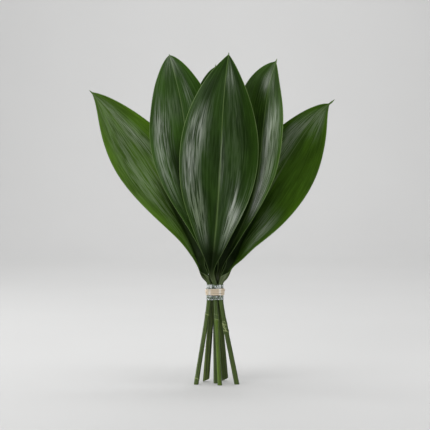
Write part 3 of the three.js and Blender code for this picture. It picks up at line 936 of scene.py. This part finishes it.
def make_tape(line, outward):
    """A thin sleeve of film, creased, with a wavy lip at each end."""
    chance = np.random.default_rng(TAPE_SEED)
    turn = np.linspace(0, 1, len(line), endpoint=False)[:, None]
    rise = np.linspace(0, 1, TAPE["rows"])[None, :]
    crease = np.zeros((len(line), TAPE["rows"]))
    for _ in range(CREASES):
        count, slant, phase, at, reach = chance.uniform(*CREASE_LIMITS)
        wave = np.sin(2 * np.pi * (round(count) * turn + slant * rise + phase))
        crease += wave ** 3 * np.exp(-((rise - at) / reach) ** 2) / 3
    crease = TAPE_CREASE * np.tanh(crease)
    flare, share = TAPE_LIP
    lip = flare * (np.exp(-(rise / share) ** 2) + np.exp(-((1 - rise) / share) ** 2))
    reach = TAPE["wall"] + 0.5 * TAPE_CREASE + 0.5 * crease + lip
    sway = sum(
        size * np.sin(2 * np.pi * (count * turn + phase)) for count, size, phase in TAPE_SWAY
    )
    height = TAPE["low"] + (TAPE["high"] - TAPE["low"]) * rise + sway * (2 * rise - 1)
    faces = []
    for distance in (reach, reach - TAPE["film"]):
        flat = line[:, None] + outward[:, None] * distance[..., None]
        faces.append(np.concatenate([flat, height[..., None]], axis=-1))
    points = np.concatenate([faces[0], faces[1][:, ::-1]], axis=1)
    looks = np.zeros_like(points)
    looks[..., 0] = turn
    looks[..., 1] = np.concatenate([rise, rise[:, ::-1]], axis=1)
    piece = rolled("clear_film_sleeve", points, {"looks": looks}, loop=True)
    dress(piece, "clear_tape", "clear_tape", tape_finish())


def strand(name, path, normal, half_width, number, loop=False, taper=1.0):
    """A flat strand of raffia along a path: its section is a ribbed, rounded strip."""
    if loop:
        along = unit(np.roll(path, -1, axis=0) - np.roll(path, 1, axis=0))
    else:
        along = unit(np.gradient(path, axis=0))
    out = unit(normal - along * dot(normal, along))
    side = np.cross(along, out)
    ring = np.radians(np.arange(0, 360, STRAND["step"]))
    across = np.cos(ring)[None, :]
    place = np.linspace(0, 1, len(path), endpoint=False)[:, None]
    size, waves, lag = STRAND_SWELL
    swell = size * np.sin(2 * np.pi * (waves * place + lag * number))
    width = half_width * (1 + swell) * np.reshape(taper, (-1, 1))
    size, waves, lag = STRAND_TWIST
    twist = size * np.sin(2 * np.pi * (waves * place + lag * number))
    ribs = 1 + STRAND["rib_height"] * np.cos(STRAND["ribs"] * np.pi * across + twist)
    flattened = np.sign(np.sin(ring)) * np.abs(np.sin(ring)) ** STRAND_FLATNESS
    deep = STRAND["thick"] * flattened * ribs
    sideways = side[:, None] * (width * across)[..., None]
    points = path[:, None] + sideways + out[:, None] * deep[..., None]
    walked = np.concatenate([[0], np.cumsum(np.linalg.norm(np.diff(path, axis=0), axis=1))])
    looks = np.zeros_like(points)
    looks[..., 0] = across
    looks[..., 1] = walked[:, None]
    looks[..., 2] = number
    return rolled(name, points, {"looks": looks}, loop=loop)


def make_raffia(line, outward):
    """Turns of raffia round the tape, tied at the back in a small knot with two cut ends."""
    angle = np.degrees(np.arctan2(outward[:, 1], outward[:, 0]))
    from_front = np.radians(angle + 90)
    at_front = np.cos(from_front) > BINDING_FRONT
    turn = np.linspace(0, 2 * np.pi, len(line), endpoint=False)
    normal = np.concatenate([outward, np.zeros((len(line), 1))], axis=1)
    pieces = []
    for number, (height, half_width, distance, slant) in enumerate(BINDING_TURNS):
        sway = sum(size * np.sin(count * turn + lag * number) for count, size, lag in BINDING_SWAY)
        level = height + sway + slant * np.sin(from_front) * at_front
        flat = line + outward * (RAFFIA_START - STALK_GAP + distance)
        path = np.concatenate([flat, level[:, None]], axis=1)
        pieces.append(strand(f"turn_{number}", path, normal, half_width, number, loop=True))

    back = int(np.argmin(np.abs(angle - KNOT["angle"])))
    seat = np.array([*(line[back] + outward[back] * (RAFFIA_START + KNOT["out"])), KNOT["height"]])
    t = np.linspace(0, 2 * np.pi, KNOT_POINTS, endpoint=False)
    for number, (name, size, out, lag, half_width) in enumerate(KNOT_LOOPS, 7):
        loop = np.stack([np.sin(t), np.cos(t), np.sin(t + lag)], axis=1) * size + (0, out, 0)
        pieces.append(strand(name, seat + loop, loop - KNOT_CENTRE, half_width, number, loop=True))

    u = np.linspace(0, 1, TAIL_POINTS)
    taper = 1 - TAIL["narrowing"] * u ** 3
    for number, (hand, reach, drop) in enumerate(TAILS, 9):
        sideways = hand * (TAIL_PATH["aside"] + reach * u)
        outwards = TAIL_PATH["out"] + TAIL_PATH["bulge"] * np.sin(np.pi * u)
        upwards = -drop * u ** TAIL_PATH["fall"] - TAIL_PATH["dip"] * u
        tail = seat + np.stack([sideways, outwards, upwards], axis=1)
        normal = np.tile(np.array(TAIL["facing"]) * (hand, 1, 1), (TAIL_POINTS, 1))
        pieces.append(strand(f"tail_{number}", tail, normal, TAIL["half"], number, taper=taper))

    deselect_all()
    for piece in pieces:
        piece.select_set(True)
    bpy.context.view_layer.objects.active = pieces[0]
    bpy.ops.object.join()
    piece = bpy.context.object
    piece.name = "raffia_binding"
    piece.data.name = "raffia_binding"
    dress(piece, "raffia_tie", "raffia", raffia_finish())


cut_end = cut_end_finish()
skins = [make_leaf(name, number, cut_end) for number, name in enumerate(LEAVES)]
outline, outward = bundle_outline(skins)
make_tape(outline, outward)
make_raffia(outline, outward)

# ---------------------------------------------------------------- studio

STAGE = {"half_width": 5.0, "front": -5.0, "back": 3.4, "height": 4.0, "sweep": 1.2}
FLOOR_DROP = 0.0001         # keeps the floor just clear of the cut ends
LAMPS = {                   # place, aim, width, height and watts
    "front_softbox": ((-1.30, -3.00, 1.00), (0, 0, 0.32), 2.4, 2.0, 9),
    "left_softbox": ((-1.40, -1.45, 0.75), (0, 0, 0.32), 1.5, 2.0, 24),
    "left_back_softbox": ((-1.60, 0.55, 0.70), (0, 0, 0.32), 1.0, 1.5, 14),
    "right_softbox": ((1.7, -0.3, 0.7), (0, 0, 0.30), 0.9, 1.4, 9),
    "top_softbox": ((0, 0.1, 2.2), (0, 0.1, 0), 2.2, 1.6, 51),
    "backdrop_softbox": ((0, 2.1, 2.6), (0, 3.4, 0.9), 3.2, 1.2, 62),
}
AIR_LIGHT = 0.08            # from all round
CAMERA_EYE = (0.0045, -2.0027, 0.355)
CAMERA_AIM = (0.0045, -0.0027, 0.255)
IMAGE_PIXELS = 430
METRES_PER_PIXEL = 0.001506  # at the tie's axis


def make_stage():
    """A pale floor that sweeps up into a backdrop."""
    sweep = STAGE["sweep"]
    foot = STAGE["back"] - sweep
    arc = np.radians(np.linspace(0, 90, 25))[1:]
    profile = [(y, 0.0) for y in (STAGE["front"], -1.0, 0.0, foot)]
    profile += [(foot + sweep * math.sin(a), sweep * (1 - math.cos(a))) for a in arc]
    profile.append((STAGE["back"], STAGE["height"]))
    steps = len(profile) - 1
    deselect_all()
    bpy.ops.mesh.primitive_grid_add(x_subdivisions=1, y_subdivisions=steps, size=2)
    sheet = bpy.context.object
    sheet.name = "studio_sweep"
    for vertex in sheet.data.vertices:
        y, z = profile[round((vertex.co.y + 1) / 2 * steps)]
        vertex.co = (vertex.co.x * STAGE["half_width"], y, z - FLOOR_DROP)
    bpy.ops.object.shade_smooth()

    def look(root):
        grain = root.noise(root.object_place(), scale=3.0, detail=1)
        return {"Base Color": root.mixed(grain, *PAPER), "Roughness": 0.85}

    sheet.data.materials.append(finish("studio_paper", look))


def hang(name, data, place, target):
    """Puts a lamp or a camera at a place, turned to a target."""
    thing = bpy.data.objects.new(name, data)
    thing.location = place
    direction = Vector(target) - thing.location
    thing.rotation_euler = direction.to_track_quat("-Z", "Y").to_euler()
    bpy.context.scene.collection.objects.link(thing)
    return thing


def make_lights():
    for name, (place, target, width, height, watts) in LAMPS.items():
        light = bpy.data.lights.new(name, "AREA")
        light.shape = "RECTANGLE"
        light.size = width
        light.size_y = height
        light.energy = watts
        hang(name, light, place, target)
    world = bpy.data.worlds.new("studio_air")
    bpy.context.scene.world = world
    world.use_nodes = True
    air = world.node_tree.nodes["Background"]
    air.inputs["Color"].default_value = (1, 1, 1, 1)
    air.inputs["Strength"].default_value = AIR_LIGHT
    bpy.context.scene.view_settings.view_transform = "Standard"


def make_camera():
    camera = bpy.data.cameras.new("camera")
    distance = (Vector(CAMERA_EYE) - Vector(CAMERA_AIM)).length
    camera.lens = camera.sensor_width * distance / (METRES_PER_PIXEL * IMAGE_PIXELS)
    bpy.context.scene.camera = hang("camera", camera, CAMERA_EYE, CAMERA_AIM)


make_stage()
make_lights()
make_camera()
